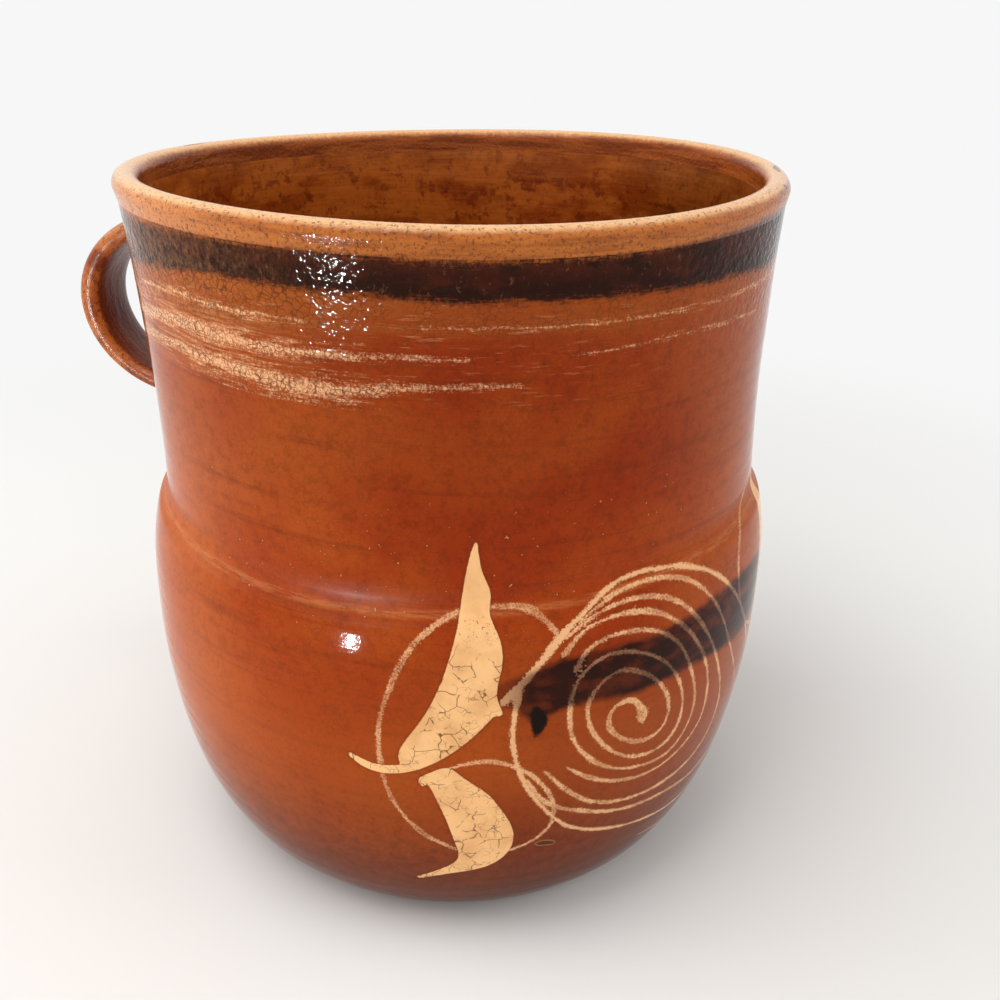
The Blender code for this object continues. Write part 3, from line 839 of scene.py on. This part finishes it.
# Neck wall
# A second thrown ring of the same clay, set on the ridge and smoothed to it inside.
# It narrows a little to a waist and flares to the lip, and carries the band and wheel streaks.
PLAIN_NECK_TOP = 126.0
PLAIN_NECK_RINGS = 21
PAINTED_NECK_RINGS = 46
INSIDE_NECK_RINGS = 27
neck_heights = list(np.linspace(RIDGE_HEIGHT, PLAIN_NECK_TOP, PLAIN_NECK_RINGS))
neck_heights += list(np.linspace(PLAIN_NECK_TOP, LIP_FOOT_HEIGHT, PAINTED_NECK_RINGS))[1:]
neck_outside = [(float(outer_radius(height)), height) for height in neck_heights]
neck_inside_heights = np.linspace(LIP_FOOT_HEIGHT, RIDGE_HEIGHT, INSIDE_NECK_RINGS)
neck_inside = [(float(neck_radius(height)) - WALL, height) for height in neck_inside_heights]
neck, neck_true = thrown("neck_wall_of_red_clay", neck_outside + neck_inside, closed=True)
fired(neck, pressed(neck_true))
paint(neck, neck_true)
dipped(neck, neck_true)
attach(neck, "root")
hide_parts("neck_wall")


# Rolled lip
# The top of the wall, folded out and compressed with a wet leather into a round bead.
# Its glaze has run thin, so the pale ochre slip shows, with worn dark pits along its edge; the pale top is
# lightened further by a painted highlight.
LIP_RADIUS = 85.0
LIP_THICKNESS = 6.5
LIP_ROUND = 3.2
LIP_RINGS = 25
lip_middle = LIP_RADIUS - 0.5 * LIP_THICKNESS
over_the_lip = np.radians(np.linspace(0.0, 180.0, LIP_RINGS))
dome_radii = lip_middle + 0.5 * LIP_THICKNESS * np.cos(over_the_lip)
lip_dome = list(zip(dome_radii, RIM_HEIGHT - LIP_ROUND + LIP_ROUND * np.sin(over_the_lip)))
lip_foot = [(NECK_TOP_RADIUS - WALL, LIP_FOOT_HEIGHT), (NECK_TOP_RADIUS, LIP_FOOT_HEIGHT)]
lip, lip_true = thrown("rolled_lip", lip_dome + lip_foot, closed=True)
fired(lip, pressed(lip_true, marks_share=0.6))
paint(lip, lip_true)


LIP_CHIPS = [
    [(-269.0, 4.6, 0.3), (-264.0, 5.0, 0.8), (-257.0, 4.8, 0.9), (-249.0, 4.4, 0.3)],
    [(-22.0, 4.4, 0.3), (-16.0, 4.8, 0.9), (-10.0, 4.4, 0.3)],
    [(4.0, 2.2, 0.5), (5.5, 2.4, 0.9), (7.0, 2.2, 0.4)],
]


def round_the_bead(piece, true_points):
    """Stores how far round the bead each point lies: 0 outwards, 90 on top and 180 inwards."""
    signed, height = chart(true_points)
    radius = np.hypot(true_points[:, 0], true_points[:, 1])
    angle = np.degrees(np.arctan2(height - RIM_HEIGHT + LIP_ROUND, radius - lip_middle))
    angle = np.where(angle < -90.0, angle + 360.0, angle)
    stored(piece, "bead", angle)
    stored(piece, "chip", brush_lines(LIP_CHIPS, signed, np.radians(angle) * LIP_ROUND))


round_the_bead(lip, lip_true)


def lip_glaze():
    glaze = Glaze("glaze_on_lip", roughness=0.08, specular=0.16)
    turned = glaze.drawn(0.05, 0.6, detail=4.0, rough=0.6)
    mottle = glaze.noise(1.6, detail=4.0, rough=0.7)
    grain = glaze.noise(0.6, detail=2.0, rough=0.7)
    bead = glaze.plus(glaze.number("bead"), glaze.around(mottle, 16.0))
    colour = glaze.over(seen(186, 106, 44), seen(158, 84, 32), glaze.between(turned, 0.42, 0.66))
    left_end = glaze.between(glaze.number("side"), 130.0, 220.0)
    colour = glaze.over(colour, seen(224, 158, 104), glaze.both(left_end, 0.55))
    # The pale top: worn thin glaze, with a painted highlight where light from above falls on the bead
    worn_and_lit = glaze.both(glaze.between(bead, 30.0, 62.0), glaze.between(bead, 160.0, 112.0))
    colour = glaze.over(colour, seen(246, 194, 138), glaze.both(worn_and_lit, 0.85))
    inner_side = glaze.between(bead, 120.0, 165.0)
    inner_colour = glaze.over(seen(158, 78, 26), seen(124, 54, 14), glaze.between(turned, 0.42, 0.60))
    colour = glaze.over(colour, inner_colour, inner_side)
    colour = glaze.shaded(colour, glaze.between(grain, 0.48, 0.66), 0.86)
    outer_side = glaze.plus(0.35, glaze.both(glaze.between(bead, 95.0, 60.0), 0.65))
    pits = glaze.both(glaze.between(glaze.noise(0.8, detail=3.0, rough=0.8), 0.55, 0.64), outer_side)
    colour = glaze.over(colour, seen(112, 50, 22), glaze.both(pits, 0.75))
    fuzz = glaze.around(glaze.noise(1.5, detail=4.0, rough=0.75), 1.6)
    band = glaze.between(glaze.plus(glaze.number("band"), fuzz), -0.6, 1.2)
    colour = glaze.over(colour, IRON_BROWN, glaze.both(band, glaze.between(bead, 100.0, 60.0), 0.85))
    chip = glaze.between(glaze.line("chip", glaze.around(mottle, 0.8)), 0.0, 0.25)
    colour = glaze.over(colour, seen(108, 62, 34), glaze.both(chip, 0.9))
    relief = glaze.plus(glaze.both(mottle, 0.10), glaze.both(turned, 0.05))
    relief = glaze.plus(relief, glaze.both(glaze.noise(1.0, detail=1.0), 0.18))
    relief = glaze.minus(relief, glaze.both(glaze.most(pits, chip), 0.10))
    return glaze.finish(colour, relief)


lip.data.materials.append(lip_glaze())
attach(lip, "root")
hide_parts("rim_lip")


# Strap handle
# A strap pulled from a lump of clay with wet fingers, bent into a half loop and pressed on to the
# neck wall, opposite the painted leaf. Its outer face has soft lengthways finger marks.
HANDLE_HEIGHT = 144.25
HANDLE_RISE = 24.1
HANDLE_REACH = 28.5
STRAP_WIDTH = 18.5
STRAP_THICKNESS = 6.2
STRAP_SQUARENESS = 2.6
STRAP_CORNERS = 64
STRAP_STEPS = 90
ROOT_SPREAD = 3.0
ROOT_LENGTH = 5.0
handle_wall = float(neck_radius(HANDLE_HEIGHT))


def strap_section(thickness, width):
    """The flat oval of the strap as (outward, sideways) points."""
    points = []
    for angle in np.linspace(0.0, 2.0 * math.pi, STRAP_CORNERS, endpoint=False):
        outward = math.copysign(abs(math.cos(angle)) ** (2.0 / STRAP_SQUARENESS), math.cos(angle))
        sideways = math.copysign(abs(math.sin(angle)) ** (2.0 / STRAP_SQUARENESS), math.sin(angle))
        points.append((0.5 * thickness * outward, 0.5 * width * sideways))
    return points


def bent_strap():
    mesh = bmesh.new()
    top = HANDLE_HEIGHT + HANDLE_RISE
    corners = []
    for outward, sideways in strap_section(STRAP_THICKNESS, STRAP_WIDTH):
        corners.append(mesh.verts.new((-handle_wall, sideways, top + outward)))
    upper_end = mesh.faces.new(corners)
    bent = bmesh.ops.spin(
        mesh,
        geom=[upper_end],
        cent=(-handle_wall, 0.0, HANDLE_HEIGHT),
        axis=(0.0, -1.0, 0.0),
        angle=math.pi,
        steps=STRAP_STEPS,
    )
    stretch = (HANDLE_REACH + 0.5 * STRAP_THICKNESS) / (HANDLE_RISE + 0.5 * STRAP_THICKNESS)
    for corner in mesh.verts:
        corner.co.x = -handle_wall + (corner.co.x + handle_wall) * stretch
    lower_end = [item for item in bent["geom_last"] if isinstance(item, bmesh.types.BMFace)]
    for end in [upper_end] + lower_end:
        grown = bmesh.ops.extrude_discrete_faces(mesh, faces=[end])
        for corner in grown["faces"][0].verts:
            corner.co.x += 0.5 * WALL
    for corner in mesh.verts:
        nearness = max(0.0, 1.0 - max(0.0, -handle_wall - corner.co.x) / ROOT_LENGTH)
        corner.co.y *= 1.0 + nearness**2 * ROOT_SPREAD / STRAP_WIDTH
    bmesh.ops.recalc_face_normals(mesh, faces=mesh.faces[:])
    return formed("strap_handle", mesh)


strap, strap_true = bent_strap()
fired(strap, hand_made(strap_true))


INNER_FACE_DEPTH = 1.8
INNER_FACE_MARGIN = 1.6


def inner_face(piece, true_points):
    """Stores how far each point lies within the strap's inner face, in mm, where the strap glaze paints
    shade.
    """
    out = (true_points[:, 0] + handle_wall) / HANDLE_REACH
    rise = (true_points[:, 2] - HANDLE_HEIGHT) / HANDLE_RISE
    inward = HANDLE_RISE * (1.0 - np.hypot(out, rise))
    edge = 0.5 * STRAP_WIDTH - INNER_FACE_MARGIN - np.abs(true_points[:, 1])
    stored(piece, "inner_face", np.minimum(inward - INNER_FACE_DEPTH, edge))


inner_face(strap, strap_true)


def strap_glaze(name):
    glaze = Glaze(name, roughness=0.20, specular=0.24)
    blotch = glaze.noise(9.0, detail=4.0)
    pulled = glaze.noise(1.0, detail=3.0, place=glaze.stretched(glaze.place, (0.12, 0.5, 0.12)), rough=0.6)
    mottle = glaze.noise(1.2, detail=4.0, rough=0.75)
    colour = glaze.over(seen(178, 98, 44), seen(132, 60, 24), glaze.between(blotch, 0.42, 0.64))
    colour = glaze.over(colour, seen(206, 132, 74), glaze.both(glaze.between(pulled, 0.48, 0.66), 0.55))
    colour = glaze.over(colour, seen(74, 30, 14), glaze.both(glaze.between(mottle, 0.50, 0.64), 0.70))
    # Painted shade on the inner face of the strap and collars, which faces the wall
    shaded_inner_face = glaze.between(glaze.plus(glaze.number("inner_face"), glaze.around(mottle, 0.8)), -0.5, 1.0)
    colour = glaze.over(colour, seen(88, 36, 22), glaze.both(shaded_inner_face, 0.85))
    relief = glaze.plus(glaze.both(pulled, 0.25), glaze.both(mottle, 0.14))
    return glaze.finish(colour, relief)


STRAP_GLAZE = strap_glaze("glaze_on_strap")
strap.data.materials.append(STRAP_GLAZE)
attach(strap, "root")
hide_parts("handle")


# Lutings
# Soft clay smeared round the two roots of the strap with a wet finger, so that they hold.
# Each one is a hollow-cheeked collar, widest on the wall and thin where it runs out on the strap.
LUTING_MARGIN = 3.8
LUTING_LENGTH = 5.2
LUTING_SUNK_SHARE = 0.35
LUTING_HOLLOW = 2.2
LUTING_RINGS = 10


def luting_collar(name, side):
    """A collar round the upper root, at side 1, or the lower root, at side -1."""
    mesh = bmesh.new()
    loops = []
    for share in np.linspace(-LUTING_SUNK_SHARE, 1.0, LUTING_RINGS):
        out = share * LUTING_LENGTH
        along = max(0.0, out) / HANDLE_REACH
        centre = HANDLE_HEIGHT + side * HANDLE_RISE * math.sqrt(1.0 - along**2)
        margin = LUTING_MARGIN * (1.0 - max(0.0, share)) ** LUTING_HOLLOW
        nearness = max(0.0, 1.0 - max(0.0, out) / ROOT_LENGTH)
        width = STRAP_WIDTH + nearness**2 * ROOT_SPREAD + 2.0 * margin
        section = strap_section(STRAP_THICKNESS + 2.0 * margin, width)
        wall = float(neck_radius(centre))
        ring = []
        for outward, sideways in section:
            receding = (wall - math.sqrt(wall**2 - sideways**2)) * (1.0 - max(0.0, share))
            ring.append(mesh.verts.new((receding - wall - out, sideways, centre + outward)))
        loops.append([mesh.edges.new((ring[index - 1], ring[index])) for index in range(len(ring))])
    for first, second in zip(loops, loops[1:]):
        bmesh.ops.bridge_loops(mesh, edges=first + second)
    for end in (loops[0], loops[-1]):
        bmesh.ops.contextual_create(mesh, geom=end)
    bmesh.ops.recalc_face_normals(mesh, faces=mesh.faces[:])
    return formed(name, mesh)


for name, side in (("upper_luting", 1.0), ("lower_luting", -1.0)):
    collar, collar_true = luting_collar(name + "_collar", side)
    fired(collar, hand_made(collar_true))
    inner_face(collar, collar_true)
    collar.data.materials.append(STRAP_GLAZE)
    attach(collar, "root")
    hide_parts(name)


# Floor, light and camera
# A plain pale floor in a bright room, with daylight from above and in front, and the camera a
# hand's reach away, looking down into the mouth.
FLOOR_SIZE = 12.0
FLOOR_FADE_START = 0.16
FLOOR_FADE_END = 0.55
BACKDROP = (0.93, 0.93, 0.93, 1.0)
floor_mesh = bmesh.new()
bmesh.ops.create_grid(floor_mesh, x_segments=1, y_segments=1, size=0.5 * FLOOR_SIZE)
floor_data = bpy.data.meshes.new("floor")
floor_mesh.to_mesh(floor_data)
floor_mesh.free()
floor = bpy.data.objects.new("floor", floor_data)
bpy.context.scene.collection.objects.link(floor)


def shown_rays(tree):
    """1 for what the camera, a reflection or a view through glass sees."""
    path = tree.nodes.new("ShaderNodeLightPath")
    shown = path.outputs["Is Camera Ray"]
    for name in ("Is Glossy Ray", "Is Transmission Ray"):
        either = tree.nodes.new("ShaderNodeMath")
        either.operation = "MAXIMUM"
        tree.links.new(shown, either.inputs[0])
        tree.links.new(path.outputs[name], either.inputs[1])
        shown = either.outputs[0]
    return shown


def floor_paint():
    """A matt floor, which holds the pot's shadow and runs out into the white backdrop."""
    material = bpy.data.materials.new("pale_floor")
    material.use_nodes = True
    tree = material.node_tree
    shader = tree.nodes["Principled BSDF"]
    shader.inputs["Base Color"].default_value = seen(236, 235, 232)
    shader.inputs["Roughness"].default_value = 0.9
    shader.inputs["Specular IOR Level"].default_value = 0.1
    place = tree.nodes.new("ShaderNodeTexCoord")
    distance = tree.nodes.new("ShaderNodeVectorMath")
    distance.operation = "LENGTH"
    tree.links.new(place.outputs["Object"], distance.inputs[0])
    fade = tree.nodes.new("ShaderNodeMapRange")
    fade.interpolation_type = "SMOOTHSTEP"
    fade.inputs["From Min"].default_value = FLOOR_FADE_START
    fade.inputs["From Max"].default_value = FLOOR_FADE_END
    tree.links.new(distance.outputs["Value"], fade.inputs["Value"])
    share = tree.nodes.new("ShaderNodeMath")
    share.operation = "MULTIPLY"
    tree.links.new(fade.outputs[0], share.inputs[0])
    tree.links.new(shown_rays(tree), share.inputs[1])
    white = tree.nodes.new("ShaderNodeEmission")
    white.inputs["Color"].default_value = BACKDROP
    mixed = tree.nodes.new("ShaderNodeMixShader")
    tree.links.new(share.outputs[0], mixed.inputs[0])
    tree.links.new(shader.outputs[0], mixed.inputs[1])
    tree.links.new(white.outputs[0], mixed.inputs[2])
    tree.links.new(mixed.outputs[0], tree.nodes["Material Output"].inputs["Surface"])
    return material


floor_data.materials.append(floor_paint())

ROOM_LIGHT = 0.56
world = bpy.data.worlds.new("bright_room")
bpy.context.scene.world = world
world.use_nodes = True
room = world.node_tree
wall_light = room.nodes.new("ShaderNodeMix")
wall_light.data_type = "RGBA"
wall_light.inputs[6].default_value = (ROOM_LIGHT, ROOM_LIGHT, ROOM_LIGHT, 1.0)
wall_light.inputs[7].default_value = BACKDROP
room.links.new(shown_rays(room), wall_light.inputs[0])
room.links.new(wall_light.outputs[2], room.nodes["Background"].inputs["Color"])


POT_MIDDLE = Vector((0.0, 0.0, 0.1))


def lamp(name, place, width, power, mirrored=False, lights=True):
    """A square soft light at a place in metres, aimed at the middle of the pot."""
    light = bpy.data.lights.new(name, "AREA")
    light.size = width
    light.energy = power
    lamp_object = bpy.data.objects.new(name, light)
    place = Vector(place)
    facing = (POT_MIDDLE - place).to_track_quat("-Z", "Y").to_matrix().to_4x4()
    lamp_object.matrix_world = Matrix.Translation(place) @ facing
    lamp_object.visible_glossy = mirrored
    lamp_object.visible_diffuse = lights
    bpy.context.scene.collection.objects.link(lamp_object)


lamp("daylight_above", (-0.20, -0.30, 0.95), 0.6, 4.5, mirrored=True)
lamp("daylight_left", (-0.88, -0.15, 0.20), 0.5, 4.6)
lamp("daylight_front", (-0.30, -0.90, 0.15), 0.6, 2.2)
lamp("daylight_right", (0.85, 0.10, 0.40), 0.6, 2.4)
lamp("low_spark", (-0.19, -0.574, 0.02), 0.02, 4.2, mirrored=True, lights=False)

CAMERA_PLACE = Vector((0.0825, -0.2877, 0.22878))
CAMERA_HEADING = math.radians(103.81)
CAMERA_PITCH = math.radians(24.39)
CAMERA_ROLL = math.radians(1.81)
CAMERA_LENS = 40.32
CAMERA_SENSOR = 36.0
ahead = Vector((math.cos(CAMERA_HEADING) * math.cos(CAMERA_PITCH),
                math.sin(CAMERA_HEADING) * math.cos(CAMERA_PITCH), -math.sin(CAMERA_PITCH)))
level_right = ahead.cross(Vector((0.0, 0.0, 1.0))).normalized()
level_up = level_right.cross(ahead)
right = math.cos(CAMERA_ROLL) * level_right + math.sin(CAMERA_ROLL) * level_up
up = -math.sin(CAMERA_ROLL) * level_right + math.cos(CAMERA_ROLL) * level_up
camera_data = bpy.data.cameras.new("camera")
camera_data.lens = CAMERA_LENS
camera_data.sensor_width = CAMERA_SENSOR
camera_data.clip_start = 0.01
camera = bpy.data.objects.new("camera", camera_data)
camera.matrix_world = Matrix.Translation(CAMERA_PLACE) @ Matrix((right, up, -ahead)).transposed().to_4x4()
bpy.context.scene.collection.objects.link(camera)
bpy.context.scene.camera = camera
bpy.context.scene.view_settings.view_transform = "Standard"
